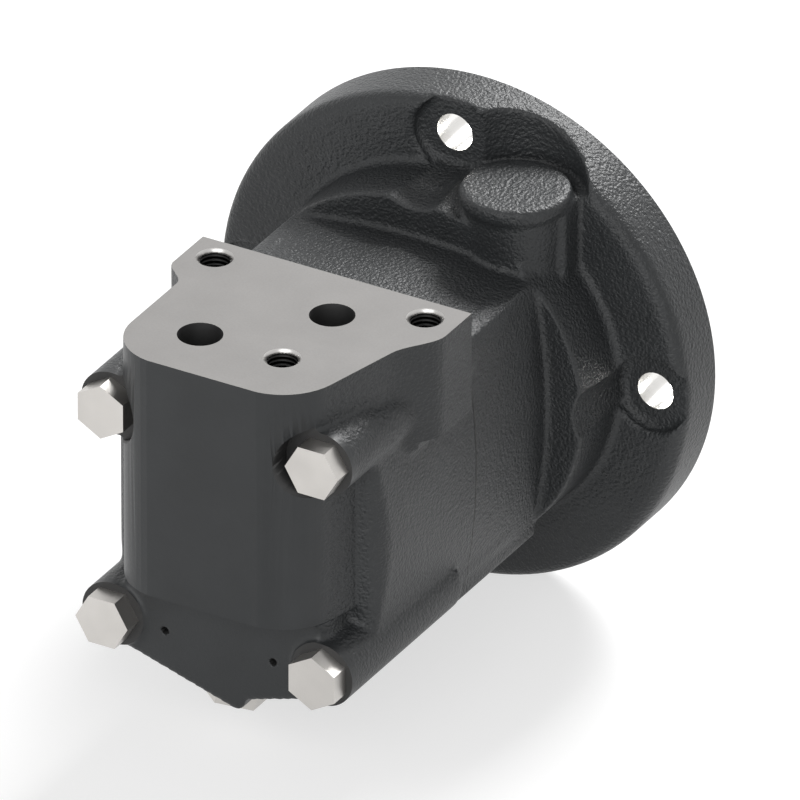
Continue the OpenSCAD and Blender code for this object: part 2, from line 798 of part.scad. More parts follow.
module valve_disc() {
    window_r = 31;
    front = y_valve + valve_t;
    color([0.7, 0.68, 0.6]) difference() {
        rod(y_valve, front, valve_r);
        spline_cut(y_valve - edge, front + edge, valve_spline_r, valve_land_r, valve_groove_w);
        rod(front - 5, front + edge, 14);
        for (i = [0 : roller_n - 2]) {
            rotate([0, i * 60, 0]) translate([-2.4, front - 8, window_r - 2]) cube([4.8, 8 + edge, 8]);
            rotate([0, i * 60 + 30, 0]) {
                rod(front - 10, front + edge, 2.4, 0, window_r);
                translate([0, front - 7.5, 12]) cylinder(h = window_r - 12, r = 1.8);
            }
        }
    }
}

module balance_ring() {
    color([0.65, 0.6, 0.45]) difference() {
        washer(y_balance - balance_len, y_balance, balance_r, balance_bore_r);
        washer(y_chamber - seal_groove_back, y_chamber - seal_groove_back + seal_groove_w,
            balance_r + edge, balance_r - seal_groove_depth);
        washer(y_balance - balance_len / 4, y_balance + edge, balance_r + edge, balance_r - 3);
    }
}

module balance_seals() {
    play = 0.1;
    color([0.1, 0.1, 0.1])
        washer(y_chamber - seal_groove_back + play, y_chamber - seal_groove_back + seal_groove_w - play,
            balance_r + running - fit, balance_r - seal_groove_depth + fit);
}

module balance_spring() {
    back = y_balance - balance_len;
    play = 0.1;
    r_in = (balance_bore_r + balance_r) / 2 - 0.5;
    r_out = balance_r - 1;
    color([0.5, 0.5, 0.52]) lathe() polygon([
        [r_in, back - play], [r_in, back - play - spring_t],
        [r_out, y_balance_seat + play], [r_out, y_balance_seat + play + spring_t]]);
}

// Inner races' lines in a bearing's own frame, t from the cup's back face
function race(t, deg) = (apex_reach + t - roller_mid) * tan(deg);

// Outline of a bearing cup, radius against t
module cup_outline() {
    polygon([[race(0, cup_deg), 0], [bearing_r, 0], [bearing_r, cup_t], [race(cup_t, cup_deg), cup_t]]);
}

// Outline of a bearing cone with its two ribs
module cone_outline() {
    bore = journal_r + fit;
    small_rib = 1.8;
    big_rib = 15.5;
    polygon([[bore, 0.5], [race(small_rib, cone_deg) + 0.8, 0.5], [race(small_rib, cone_deg) + 0.8, small_rib],
        [race(small_rib, cone_deg), small_rib], [race(big_rib, cone_deg), big_rib],
        [race(big_rib, cone_deg) + 2.1, big_rib], [race(big_rib, cone_deg) + 2.1, bearing_t], [bore, bearing_t]]);
}

// Tapered rollers and their cage, local Z along t
module rolling_set() {
    s0 = apex_axis - taper_len_roller / 2;
    s1 = apex_axis + taper_len_roller / 2;
    window_w = 2 * apex_axis * tan(taper_half_deg) + 0.5;
    cage_half = taper_len_roller / 2 + 2;
    shell_in = 0.6;
    shell_out = 1.8;
    end_play = 0.2;
    translate([0, 0, roller_mid - apex_reach]) {
        for (i = [0 : taper_n - 1]) rotate([0, 0, i * 360 / taper_n]) rotate([0, taper_axis_deg, 0])
            translate([0, 0, s0]) cylinder(h = s1 - s0, r1 = s0 * tan(taper_half_deg) - race_gap,
                r2 = s1 * tan(taper_half_deg) - race_gap, $fn = 32);
        difference() {
            rotate_extrude() polygon([for (p = [[-cage_half, shell_in], [cage_half, shell_in],
                    [cage_half, shell_out], [-cage_half, shell_out]])
                [(apex_reach + p[0]) * tan(taper_axis_deg) + p[1], apex_reach + p[0]]]);
            for (i = [0 : taper_n - 1]) rotate([0, 0, i * 360 / taper_n]) rotate([0, taper_axis_deg, 0])
                translate([-4, -window_w / 2, s0 - end_play]) cube([10, window_w, s1 - s0 + 2 * end_play]);
        }
    }
}

// The front bearing's cup backs onto the nose, the rear one's onto the wear plate
module at_front_bearing() {
    translate([0, y_cup_seat, 0]) rotate([90, 0, 0]) children();
}

module at_rear_bearing() {
    translate([0, y_wear, 0]) rotate([-90, 0, 0]) children();
}

module front_bearing_cup() {
    color([0.72, 0.72, 0.74]) at_front_bearing() rotate_extrude() cup_outline();
}

module front_bearing_cone() {
    color([0.72, 0.72, 0.74]) at_front_bearing() rotate_extrude() cone_outline();
}

module front_bearing_rollers() {
    color([0.8, 0.8, 0.82]) at_front_bearing() rolling_set();
}

module rear_bearing_cup() {
    color([0.72, 0.72, 0.74]) at_rear_bearing() rotate_extrude() cup_outline();
}

module rear_bearing_cone() {
    color([0.72, 0.72, 0.74]) at_rear_bearing() rotate_extrude() cone_outline();
}

module rear_bearing_rollers() {
    color([0.8, 0.8, 0.82]) at_rear_bearing() rolling_set();
}

module output_shaft() {
    collar_y = y_wear + bearing_t;
    socket_end = drive_shaft_y + shaft_end_half + 4;
    key_mid = taper_start + taper_len / 2;
    key_floor = taper_r - (key_mid - taper_start) / 20 - keyway_depth;
    color([0.7, 0.7, 0.72]) difference() {
        union() {
            rod(y_shaft_rear, y_cup_seat + edge, journal_r);
            rod(collar_y, collar_y + shaft_collar_t, shaft_collar_r);
            rod(y_cup_seat, taper_start - 2, seal_land_r);
            cone_rod(taper_start - 2 - skin, taper_start, seal_land_r, taper_r);
            cone_rod(taper_start - skin, y_taper_end, taper_r, taper_small_r);
            rod(y_taper_end - edge, y_taper_end + 2, thread_r - 1.2);
            rod(y_taper_end + 2 - skin, y_shaft_end - 1.5, thread_r);
            cone_rod(y_shaft_end - 1.5, y_shaft_end, thread_r, thread_r - 1.5);
        }
        spline_cut(y_shaft_rear - edge, socket_end, shaft_spline_r, shaft_bore_r, star_groove_w);
        rod(y_shaft_rear - edge, y_shaft_rear + 18, shaft_spline_r + 1);
        translate([-key_w / 2, key_mid - key_len / 2, key_floor]) cube([key_w, key_len, key_w * 2]);
        translate([0, y_pin, 0]) rotate([0, 90, 0]) cylinder(h = 4 * thread_r, r = split_pin_d / 2 + 0.1, center = true);
    }
}

module shaft_key() {
    key_mid = taper_start + taper_len / 2;
    key_floor = taper_r - (key_mid - taper_start) / 20 - keyway_depth;
    color([0.6, 0.6, 0.62])
        translate([-key_w / 2 + fit, key_mid - key_len / 2 + fit, key_floor]) cube([key_w - 2 * fit, key_len - 2 * fit, key_w]);
}

module castle_nut() {
    castle_h = 6;
    slot_w = split_pin_d + 0.7;
    color([0.75, 0.75, 0.77]) difference() {
        union() {
            translate([0, y_nut, 0]) rotate([-90, 0, 0])
                cylinder(h = nut_h - castle_h, r = nut_w / sqrt(3), $fn = 6);
            rod(y_nut + nut_h - castle_h - skin, y_nut + nut_h, nut_w / 2 - 1);
        }
        rod(y_nut - edge, y_nut + nut_h + edge, thread_r + fit);
        round_y(3) translate([-nut_w, y_nut + nut_h - castle_h, -slot_w / 2])
            cube([2 * nut_w, castle_h + edge, slot_w]);
    }
}

module split_pin() {
    reach = nut_w / 2 + 1;
    color([0.8, 0.8, 0.8]) translate([0, y_pin, 0]) {
        rotate([0, 90, 0]) cylinder(h = 2 * reach, r = split_pin_d / 2 - 0.1, center = true, $fn = 32);
        translate([reach + 2, 0, 0]) rotate([90, 0, 0])
            rotate_extrude() translate([split_pin_d / 2 + 0.6, 0]) circle(1, $fn = 24);
    }
}

// Sealing lip ring, radius against Y, its lip towards the bearings
module shaft_seal() {
    lip = seal_land_r + running;
    color([0.12, 0.12, 0.12]) translate([0, y_ring, 0]) lathe() mirror([0, 1]) polygon([
        [lip + 0.6, 0], [seal_r, 0], [seal_r, seal_len], [seal_r - 1.4, seal_len], [seal_r - 1.4, 1.8],
        [lip + 3, 1.8], [lip + 2, 4.5], [lip + 2.6, 7.5], [lip + 1.2, 7.5], [lip, 6], [lip + 1, 2.5]]);
}

module dust_wiper() {
    lip = seal_land_r + running;
    color([0.12, 0.12, 0.12]) translate([0, y_wiper, 0]) lathe() polygon([
        [lip + 3, 0], [seal_r, 0], [seal_r, wiper_len - 1], [lip + 4, wiper_len - 1], [lip, wiper_len + 0.8],
        [lip, wiper_len]]);
}

module retaining_ring() {
    gap_w = 9;
    color([0.4, 0.4, 0.42]) translate([0, y_ring + fit, 0]) difference() {
        washer(0, ring_t, groove_r - 0.3, seal_r - 3.2);
        translate([-gap_w / 2, -edge, -groove_r - edge]) cube([gap_w, ring_t + 2 * edge, 10]);
    }
}

module drain_plug() {
    color([0.82, 0.82, 0.8]) at_plug() {
        translate([0, 0, -plug_seal_t - plug_head_t]) rotate(360 / 12)
            cylinder(h = plug_head_t, r = plug_w / sqrt(3), $fn = 6);
        translate([0, 0, -plug_seal_t - skin]) cylinder(h = plug_seal_t + plug_thread_len + skin, r = plug_thread_r);
    }
}

module drain_plug_seal() {
    color([0.7, 0.42, 0.25]) at_plug() translate([0, 0, -plug_seal_t]) difference() {
        cylinder(h = plug_seal_t, r = plug_w / 2 - 0.5);
        translate([0, 0, -edge]) cylinder(h = plug_seal_t + 2 * edge, r = plug_thread_r + fit);
    }
}

front_casting();
port_housing();
housing_bolts();
parting_seal();
stator_ring();
stator_dowels();
wear_plate();
channel_plate();
gear_roller(1);  // roller_1
gear_roller(2);  // roller_2
gear_roller(3);  // roller_3
gear_roller(4);  // roller_4
gear_roller(5);  // roller_5
gear_roller(6);  // roller_6
gear_roller(7);  // roller_7
rotor_star();
link_spacer();
drive_link();
valve_link();
valve_disc();
balance_ring();
balance_seals();
balance_spring();
output_shaft();
shaft_key();
castle_nut();
split_pin();
front_bearing_cup();
front_bearing_cone();
front_bearing_rollers();
rear_bearing_cup();
rear_bearing_cone();
rear_bearing_rollers();
shaft_seal();
dust_wiper();
retaining_ring();
drain_plug();
drain_plug_seal();
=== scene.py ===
"""Orbital hydraulic motor: painted castings with soft edges, machined faces, bolts and finishes."""
import json
import math

import bpy
from bpy.props import FloatProperty, FloatVectorProperty, IntProperty, PointerProperty
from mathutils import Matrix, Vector


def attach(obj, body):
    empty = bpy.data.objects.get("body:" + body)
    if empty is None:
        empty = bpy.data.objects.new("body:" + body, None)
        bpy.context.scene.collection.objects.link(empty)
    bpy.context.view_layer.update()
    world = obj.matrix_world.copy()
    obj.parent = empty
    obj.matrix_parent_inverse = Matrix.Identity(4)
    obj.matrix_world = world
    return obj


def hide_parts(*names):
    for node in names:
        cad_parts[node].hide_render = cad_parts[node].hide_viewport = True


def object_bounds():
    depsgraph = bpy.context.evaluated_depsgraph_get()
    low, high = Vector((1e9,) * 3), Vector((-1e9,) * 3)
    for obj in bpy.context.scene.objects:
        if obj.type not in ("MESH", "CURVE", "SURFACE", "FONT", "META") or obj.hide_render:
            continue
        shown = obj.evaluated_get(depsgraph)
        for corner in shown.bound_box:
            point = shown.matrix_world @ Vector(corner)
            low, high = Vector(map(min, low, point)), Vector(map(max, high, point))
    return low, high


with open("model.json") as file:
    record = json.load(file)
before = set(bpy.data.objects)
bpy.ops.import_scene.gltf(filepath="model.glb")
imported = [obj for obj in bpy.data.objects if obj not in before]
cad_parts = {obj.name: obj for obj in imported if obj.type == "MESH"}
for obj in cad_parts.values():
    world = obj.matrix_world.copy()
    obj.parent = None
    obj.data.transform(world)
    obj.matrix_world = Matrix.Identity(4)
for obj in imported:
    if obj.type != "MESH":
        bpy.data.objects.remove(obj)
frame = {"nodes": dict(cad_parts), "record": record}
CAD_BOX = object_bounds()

bl_info = {
    "name": "Orbital hydraulic motor",
    "version": (1, 0, 0),
    "blender": (4, 5, 0),
    "location": "View3D > Sidebar > Motor",
    "description": "Dresses the motor's frame with cast housings, fasteners and finishes",
    "category": "Object",
}

# Sizes are in millimetres in the frame's axes: Y along the shaft, Z up to the port face, X across
MM = 0.001
ALONG = (0, 1, 0)
DOWN = (0, 0, -1)
OVERLAP = 0.01

# Stations along the shaft, from the mounting face
SPIGOT = 9.0
RING_SEAT = -4.0
SEAL_SEAT = -13.0
CUP_SEAT = -18.0
FLANGE_REAR = -19.0
COLLAR = -48.3
WEAR_FACE = -64.0
PARTING = -96.4
CHANNEL_FACE = -106.4
TUBE_FRONT = -106.5
CHAMBER_END = -141.2
BALANCE_END = -151.2
INNER_END = -175.2
LOWER_FACE = -181.1
TUBE_END = -182.4
BLOCK_REAR = -193.3

# Heights and half widths across the shaft
PORT_FACE = 69.9
EAR_BOTTOM = 31.5
BLOCK_BOTTOM = -22.9
NECK_X = 48.7
BODY_HALF = 53.2
FOOT_HALF = 48.2
CROWN = 230.0

# Places of the holes
BOLT_OFFSET = 41.7
MOUNT_R = 80
QUARTERS = ((0, 1), (1, 0), (0, -1), (-1, 0))
PIN_X, PIN_Z = 21.5, -43.3
DOWEL_CIRCLE = 41.5
PORTS = ((-14.4, -168.7), (18.1, -134.7))
TAPPED = ((-36.7, -120.5), (46.7, -120.5), (18.1, -168.7))
PLUG = Vector((-5.3, -156.1, -63.41))
PLUG_TILT = math.radians(16.7)
PLUG_INWARD = Vector((math.sin(PLUG_TILT), 0, math.cos(PLUG_TILT)))

# Radii of the turned faces and bores
SPIGOT_R, SPIGOT_CHAMFER = 62.5, 1.13
SEAL_BORE_R = 31.02
RING_GROOVE_R, RING_GROOVE_W = 32.62, 1.6
NOSE_BORE_R = 26
CUP_BORE_R = 37.52
GEAR_BORE_R = 47.02
ORING_INNER_R, ORING_OUTER_R, ORING_DEPTH = 47.9, 50.9, 2.4
SEAM_R, SEAM = 52, 0.15
CHAMBER_R = 38
BALANCE_R = 29.05
INNER_R = 22

# Radii and depths of the drilled holes
MOUNT_HOLE_R = 7
SCALLOP_R, SCALLOP_FLOOR_R = 16.9, 14.25
BOLT_THREAD_R, BOLT_HOLE_R = 6.02, 6.75
UPPER_SPOT_R, LOWER_SPOT_R = 14.02, 13.2
PIN_HOLE_R = 1.4
PORT_R, PORT_DEPTH = 8, 24
PASSAGE_R, PASSAGE_START = 6.5, 20
TAP_R, TAP_DEPTH = 5.3, 14
CHAMFER_R, CHAMFER_END_R = 8.6, 4.6
DOWEL_R = 2.52
PLUG_THREAD_R = 8.02
DRAIN_R = 2.5
THREAD_PITCH = 1.75

# Stock above the port face: of the soft skin, and of the crisp block that is laid over it
SKIN_STOCK = 8
CRISP_STOCK, CRISP_GROWTH = 6, 0.12

# Shading
SHARP_ANGLE = math.radians(32)
LEVEL_FINISHES = ("milled_face", "spot_face_with_pocket_shade")
LEVEL_NORMAL = 0.9995

# Metres: doubles in a copied mesh, and the width of a face that counts as none
DOUBLES = 0.00001
SLIVER = 0.000001

# Metres: stations between which the cast grain fades out towards the smooth rear faces
GRAIN_NONE, GRAIN_FULL, FAINT_GRAIN = -0.1818, -0.1758, 0.06

# Metres and watts: name, place, size and power of each lamp, and the point they are aimed at
LAMPS = (("key", (0.0, 1.75, 1.5), 0.8, 72), ("fill", (0.4, -2.0, 0.6), 2.4, 37))
LAMP_TARGET = (0, -0.09, 0)
WORLD_LIGHT, WORLD_SEEN = 0.24, 1.0

# The photograph's view: 30 degrees round, 30 degrees up, nearly parallel; metres, but for lens and sensor
CAMERA_ANGLE = math.radians(30)
CAMERA_TARGET = Vector((0, -0.0569, -0.0078))
CAMERA_WIDTH = 0.2764
CAMERA_LENS, CAMERA_SENSOR = 1500.0, 36.0
CAMERA_CLIP = (0.5, 60)


# Selection and object helpers

def only(*objects):
    """Selects these objects alone; the first is the active one."""
    bpy.ops.object.select_all(action="DESELECT")
    for ob in objects:
        ob.select_set(True)
    bpy.context.view_layer.objects.active = objects[0]


def linked(name, data):
    """A new object in the scene."""
    ob = bpy.data.objects.new(name, data)
    bpy.context.scene.collection.objects.link(ob)
    return ob


def settle(ob, name, finish=None):
    """Names a new primitive, gives it a finish and writes its place into its mesh."""
    ob.name = name
    if finish:
        ob.data.materials.append(finish)
    only(ob)
    bpy.ops.object.transform_apply(location=True, rotation=True, scale=True)
    return ob


def finish_modifier(ob, modifier):
    """Applies one modifier."""
    only(ob)
    bpy.ops.object.modifier_apply(modifier=modifier.name)


def open_whole(ob):
    """Enters edit mode with the whole mesh selected."""
    only(ob)
    bpy.ops.object.mode_set(mode="EDIT")
    bpy.ops.mesh.select_all(action="SELECT")


def tidy_faces(ob):
    """Merges doubles and turns all faces outwards."""
    open_whole(ob)
    bpy.ops.mesh.remove_doubles(threshold=DOUBLES)
    bpy.ops.mesh.normals_make_consistent(inside=False)
    bpy.ops.object.mode_set(mode="OBJECT")
    return ob


def without_slivers(ob):
    """Splits the cut faces into triangles and takes out those of no width."""
    open_whole(ob)
    bpy.ops.mesh.quads_convert_to_tris(quad_method="BEAUTY", ngon_method="BEAUTY")
    bpy.ops.mesh.dissolve_degenerate(threshold=SLIVER)
    bpy.ops.object.mode_set(mode="OBJECT")


def copy_of(node, name):
    """A merged copy of a frame node's mesh under a new name."""
    ob = linked(name, frame["nodes"][node].data.copy())
    ob.data.name = name
    ob.data.materials.clear()
    return tidy_faces(ob)


def bar(name, start, axis, radius, length, finish=None, sides=96, tip=None):
    """A round bar from a start point along an axis; tip is its far radius where it tapers."""
    direction = Vector(axis).normalized()
    middle = Vector(start) + direction * (length / 2)
    turn = Vector((0, 0, 1)).rotation_difference(direction).to_euler()
    bpy.ops.object.select_all(action="DESELECT")
    bpy.ops.mesh.primitive_cone_add(
        vertices=sides, radius1=radius * MM, radius2=(radius if tip is None else tip) * MM,
        depth=length * MM, location=middle * MM, rotation=turn)
    return settle(bpy.context.object, name, finish)


def block(name, low, high, finish=None):
    """A box between two corners."""
    bpy.ops.object.select_all(action="DESELECT")
    bpy.ops.mesh.primitive_cube_add(size=1, location=[(h + l) / 2 * MM for l, h in zip(low, high)])
    bpy.context.object.scale = [(h - l) * MM for l, h in zip(low, high)]
    return settle(bpy.context.object, name, finish)


def turned(name, profile, finish):
    """A solid turned about the shaft axis, from an outline of radius and station that ends on the axis."""
    mesh = bpy.data.meshes.new(name)
    points = [(r * MM, y * MM, 0) for r, y in profile]
    mesh.from_pydata(points, [(i, i + 1) for i in range(len(points) - 1)], [])
    ob = linked(name, mesh)
    spin = ob.modifiers.new("Turn", "SCREW")
    spin.axis = "Y"
    spin.angle = 2 * math.pi
    spin.steps = spin.render_steps = 180
    spin.use_merge_vertices = True
    finish_modifier(ob, spin)
    ob.data.materials.append(finish)
    return tidy_faces(ob)


def joined(parts, name):
    """One object from several."""
    only(*parts)
    bpy.ops.object.join()
    ob = bpy.context.object
    ob.name = ob.data.name = name
    return ob


def combined(ob, others, operation):
    """Adds the other solids to an object or cuts them out; new faces keep the others' finish."""
    tools = bpy.data.collections.new("Tools")
    for other in others:
        tools.objects.link(other)
    cut = ob.modifiers.new("Combine", "BOOLEAN")
    cut.operation = operation
    cut.operand_type = "COLLECTION"
    cut.collection = tools
    cut.solver = "MANIFOLD"
    cut.material_mode = "TRANSFER"
    finish_modifier(ob, cut)
    for other in others:
        mesh = other.data
        bpy.data.objects.remove(other)
        bpy.data.meshes.remove(mesh)
    bpy.data.collections.remove(tools)
    return ob


def smooth_shaded(ob):
    """Smooth shading with sharp edges kept crisp; level machined faces are shaded flat."""
    only(ob)
    bpy.ops.object.shade_smooth_by_angle(angle=SHARP_ANGLE)
    level = [slot.material is not None and slot.material.name in LEVEL_FINISHES for slot in ob.material_slots]
    for polygon in ob.data.polygons:
        square_to_shaft = abs(polygon.normal.y) > LEVEL_NORMAL
        on_port_face = polygon.center.z > PORT_FACE * MM - SLIVER
        if level[polygon.material_index] and (square_to_shaft or on_port_face):
            polygon.use_smooth = False
    weighting = ob.modifiers.new("Weighting", "WEIGHTED_NORMAL")
    weighting.keep_sharp = True
    finish_modifier(ob, weighting)


# Materials

def new_material(name):
    """A node material, its tree and its main shader."""
    mat = bpy.data.materials.new(name)
    mat.use_nodes = True
    tree = mat.node_tree
    return mat, tree, tree.nodes["Principled BSDF"]


def add(tree, kind, **values):
    """A node with its sockets or settings given by name."""
    node = tree.nodes.new(kind)
    for key, value in values.items():
        socket = node.inputs.get(key.replace("_", " "))
        if socket is not None:
            socket.default_value = value
        else:
            setattr(node, key, value)
    return node


def object_coords(tree):
    """The object's own coordinates."""
    return add(tree, "ShaderNodeTexCoord").outputs["Object"]


def noise(tree, coords, scale, detail=2.0, rough=0.5):
    """Noise on object coordinates, cells per metre."""
    node = add(tree, "ShaderNodeTexNoise", Scale=scale, Detail=detail, Roughness=rough)
    tree.links.new(coords, node.inputs["Vector"])
    return node.outputs["Fac"]


def spread(tree, value, low, high, start=0.0, end=1.0):
    """Maps the span from start to end onto the span from low to high."""
    node = add(tree, "ShaderNodeMapRange")
    for key, limit in (("From Min", start), ("From Max", end), ("To Min", low), ("To Max", high)):
        node.inputs[key].default_value = limit
    tree.links.new(value, node.inputs["Value"])
    return node.outputs["Result"]


def tone(tree, value, dark, light, low=0.3, high=0.7):
    """Colour that runs between two tones."""
    node = add(tree, "ShaderNodeValToRGB")
    ramp = node.color_ramp
    ramp.elements[0].position, ramp.elements[1].position = low, high
    ramp.elements[0].color, ramp.elements[1].color = (*dark, 1), (*light, 1)
    tree.links.new(value, node.inputs["Fac"])
    return node.outputs["Color"]


def shade(colour, factor):
    """A lighter or darker tone of a colour."""
    return tuple(min(1.0, c * factor) for c in colour)


def bumped(tree, bsdf, height, distance, strength):
    """Leads a height into the shader's normal; the strength is a number or a socket."""
    bump = add(tree, "ShaderNodeBump", Distance=distance)
    if isinstance(strength, (int, float)):
        bump.inputs["Strength"].default_value = strength
    else:
        tree.links.new(strength, bump.inputs["Strength"])
    tree.links.new(height, bump.inputs["Height"])
    tree.links.new(bump.outputs["Normal"], bsdf.inputs["Normal"])


def cast_paint(props):
    """Satin black paint over a sand-cast skin with a leather-like grain of about a millimetre."""
    mat, tree, bsdf = new_material("cast_paint")
    coords = object_coords(tree)
    broad = noise(tree, coords, 45, 3)
    tree.links.new(tone(tree, broad, shade(props.paint_colour, 0.88), shade(props.paint_colour, 1.12)),
                   bsdf.inputs["Base Color"])
    fine = noise(tree, coords, 1100, 2, 0.55)
    tree.links.new(spread(tree, fine, props.paint_roughness - 0.05, props.paint_roughness + 0.07),
                   bsdf.inputs["Roughness"])
    cells = add(tree, "ShaderNodeTexVoronoi", Scale=780.0, feature="SMOOTH_F1")
    tree.links.new(coords, cells.inputs["Vector"])
    height = add(tree, "ShaderNodeMath", operation="MULTIPLY_ADD")
    tree.links.new(cells.outputs["Distance"], height.inputs[0])
    height.inputs[1].default_value = 0.8
    tree.links.new(fine, height.inputs[2])
    split = add(tree, "ShaderNodeSeparateXYZ")
    tree.links.new(coords, split.inputs[0])
    strength = spread(tree, split.outputs["Y"], FAINT_GRAIN, props.grain, GRAIN_NONE, GRAIN_FULL)
    bumped(tree, bsdf, height.outputs[0], 0.0006, strength)
    bsdf.inputs["Specular IOR Level"].default_value = 0.36
    return mat


def metal(name, colour, roughness, lines=(1, 1, 1), scale=900.0, strength=0.15, metallic=1.0, mottle=0.06):
    """Machined metal with fine tool marks; lines stretches them along an axis, mottle varies the tone."""
    mat, tree, bsdf = new_material(name)
    coords = object_coords(tree)
    stretch = add(tree, "ShaderNodeMapping")
    stretch.inputs["Scale"].default_value = lines
    tree.links.new(coords, stretch.inputs["Vector"])
    marks = noise(tree, stretch.outputs["Vector"], scale, 3)
    broad = noise(tree, coords, 60, 2)
    tree.links.new(tone(tree, broad, shade(colour, 1 - mottle), shade(colour, 1 + mottle)),
                   bsdf.inputs["Base Color"])
    tree.links.new(spread(tree, marks, roughness - 0.05, roughness + 0.08), bsdf.inputs["Roughness"])
    bumped(tree, bsdf, marks, 0.00005, strength)
    bsdf.inputs["Metallic"].default_value = metallic
    return mat


def thread_cut(name, colour):
    """Tapped bore: fine rings at the thread's pitch along Z, whose darker bands are painted shade in the
    grooves; a wave repeats each pi / 10 at scale 1.
    """
    mat, tree, bsdf = new_material(name)
    rings = add(tree, "ShaderNodeTexWave", wave_type="BANDS", bands_direction="Z")
    rings.inputs["Scale"].default_value = math.pi / 10 / (THREAD_PITCH * MM)
    tree.links.new(object_coords(tree), rings.inputs["Vector"])
    # The rings run from half to full tone: the dark half is painted shade of the thread grooves
    tree.links.new(tone(tree, rings.outputs["Fac"], shade(colour, 0.5), colour, 0.1, 0.9),
                   bsdf.inputs["Base Color"])
    bumped(tree, bsdf, rings.outputs["Fac"], 0.0006, 0.8)
    bsdf.inputs["Metallic"].default_value = 1.0
    bsdf.inputs["Roughness"].default_value = 0.4
    return mat


def rubber(name, colour):
    """Dull rubber with a faint bloom."""
    mat, tree, bsdf = new_material(name)
    coords = object_coords(tree)
    tree.links.new(tone(tree, noise(tree, coords, 300, 3), shade(colour, 0.8), shade(colour, 1.5)),
                   bsdf.inputs["Base Color"])
    tree.links.new(spread(tree, noise(tree, coords, 1500), 0.55, 0.7), bsdf.inputs["Roughness"])
    return mat


FINISHES = {}


def make_finishes(props):
    """All finishes of the motor, by the material slot or the tool that leaves them."""
    FINISHES.update(
        paint=cast_paint(props),
        milled=metal("milled_face", props.milled_colour, 0.72, scale=1400, strength=0.05, mottle=0.03),
        bore=metal("bored_wall", (0.75, 0.74, 0.72), 0.22, lines=(1, 8, 1), scale=300),
        # Drilled holes and bores: dark tone is painted shade of the deep holes, over the drilled iron's own
        # colour
        channel=metal("drilled_channel_with_painted_shade", (0.12, 0.12, 0.12), 0.5, lines=(1, 1, 6), scale=300, strength=0.3),
        # Spot finish: the spot-faces' own dark tone, darkened below the paint as painted shade of the deep bolt
        # pockets it lines
        spot=metal("spot_face_with_pocket_shade", props.spot_face_and_pocket_shade_colour, 0.5, scale=1200, metallic=0.0),
        edge=metal("cut_edge", (0.5, 0.49, 0.48), 0.3, strength=0.0),
        # Tapped holes: near-black tone is painted shade inside the deep holes, over the cut iron's own colour
        thread=thread_cut("tapped_thread_with_painted_shade", (0.03, 0.03, 0.03)),
        zinc=metal("zinc_bolt", props.bolt_colour, 0.36, scale=1300, strength=0.12),
        steel=metal("ground_steel", (0.5, 0.5, 0.51), 0.3, lines=(1, 6, 1), scale=400, strength=0.08),
        dark_steel=metal("spring_steel", (0.16, 0.16, 0.17), 0.35, scale=800),
        bronze=metal("bronze", (0.55, 0.36, 0.16), 0.35, scale=700),
        copper=metal("copper_washer", (0.65, 0.3, 0.17), 0.35),
        rubber=rubber("seal_rubber", (0.02, 0.02, 0.021)))


# Castings

def port_block(name, proud, grow):
    """The port block alone, drawn down from the port face's outline; proud is its stock above that face."""
    ob = copy_of("port_housing", name)
    bpy.ops.object.mode_set(mode="EDIT")
    bpy.ops.mesh.select_mode(type="FACE")
    bpy.ops.mesh.select_all(action="DESELECT")
    bpy.ops.object.mode_set(mode="OBJECT")
    for polygon in ob.data.polygons:
        polygon.select = not (polygon.normal.z > 0.99 and polygon.center.z > (PORT_FACE - 0.05) * MM)
    bpy.ops.object.mode_set(mode="EDIT")
    bpy.ops.mesh.delete(type="FACE")
    bpy.ops.mesh.select_all(action="SELECT")
    bpy.ops.transform.translate(value=(0, 0, proud * MM))
    depth = PORT_FACE + proud - BLOCK_BOTTOM
    bpy.ops.mesh.extrude_region_move(TRANSFORM_OT_translate={"value": (0, 0, -depth * MM)})
    bpy.ops.mesh.select_all(action="SELECT")
    bpy.ops.mesh.normals_make_consistent(inside=False)
    bpy.ops.transform.shrink_fatten(value=grow * MM, use_even_offset=True)
    bpy.ops.object.mode_set(mode="OBJECT")
    under_ear = block("under_ear", (NECK_X + grow, -240, BLOCK_BOTTOM - 20), (90, -60, EAR_BOTTOM - grow))
    return combined(ob, [under_ear], "DIFFERENCE")


def stock():
    """Solids that fill every bore and leave stock on every machined face."""
    filling = []
    for sx in (-1, 1):
        for sz in (-1, 1):
            x, z = sx * BOLT_OFFSET, sz * BOLT_OFFSET
            front = PARTING if sz > 0 else TUBE_FRONT
            filling.append(bar("tube_stock", (x, TUBE_END - 4, z), ALONG, 11.98, front - TUBE_END + 4))
            filling.append(bar("thread_stock", (x, TUBE_FRONT - 4, z), ALONG, 8, 44))
        filling.append(bar("pin_stock", (sx * PIN_X, LOWER_FACE + OVERLAP, PIN_Z), ALONG, PIN_HOLE_R + 1, 12))
    for sx, sz in QUARTERS:
        start = (MOUNT_R * sx, FLANGE_REAR + OVERLAP, MOUNT_R * sz)
        filling.append(bar("hole_stock", start, ALONG, MOUNT_HOLE_R + 0.8, 24))
    filling += [
        bar("flange_stock", (0, -6, 0), ALONG, 92.95, 19, sides=256),
        bar("nose_stock", (0, -21, 0), ALONG, 42, 34),
        bar("gear_stock", (0, -108, 0), ALONG, 52, 88),
        bar("chamber_stock", (0, -142, 0), ALONG, 39.5, 50),
        bar("balance_stock", (0, -176.5, 0), ALONG, 30, 60),
    ]
    for holes, depth in ((PORTS, 60), (TAPPED, 19)):
        for x, y in holes:
            start = (x, y, PORT_FACE + SKIN_STOCK - OVERLAP)
            filling.append(bar("port_stock", start, DOWN, CHAMFER_R, depth + SKIN_STOCK))
    filling.append(bar("plug_stock", PLUG + PLUG_INWARD * OVERLAP, PLUG_INWARD, 9.5, 16))
    filling.append(bar("drain_stock", PLUG + PLUG_INWARD * 12, PLUG_INWARD, 4, 34, sides=32))
    return filling


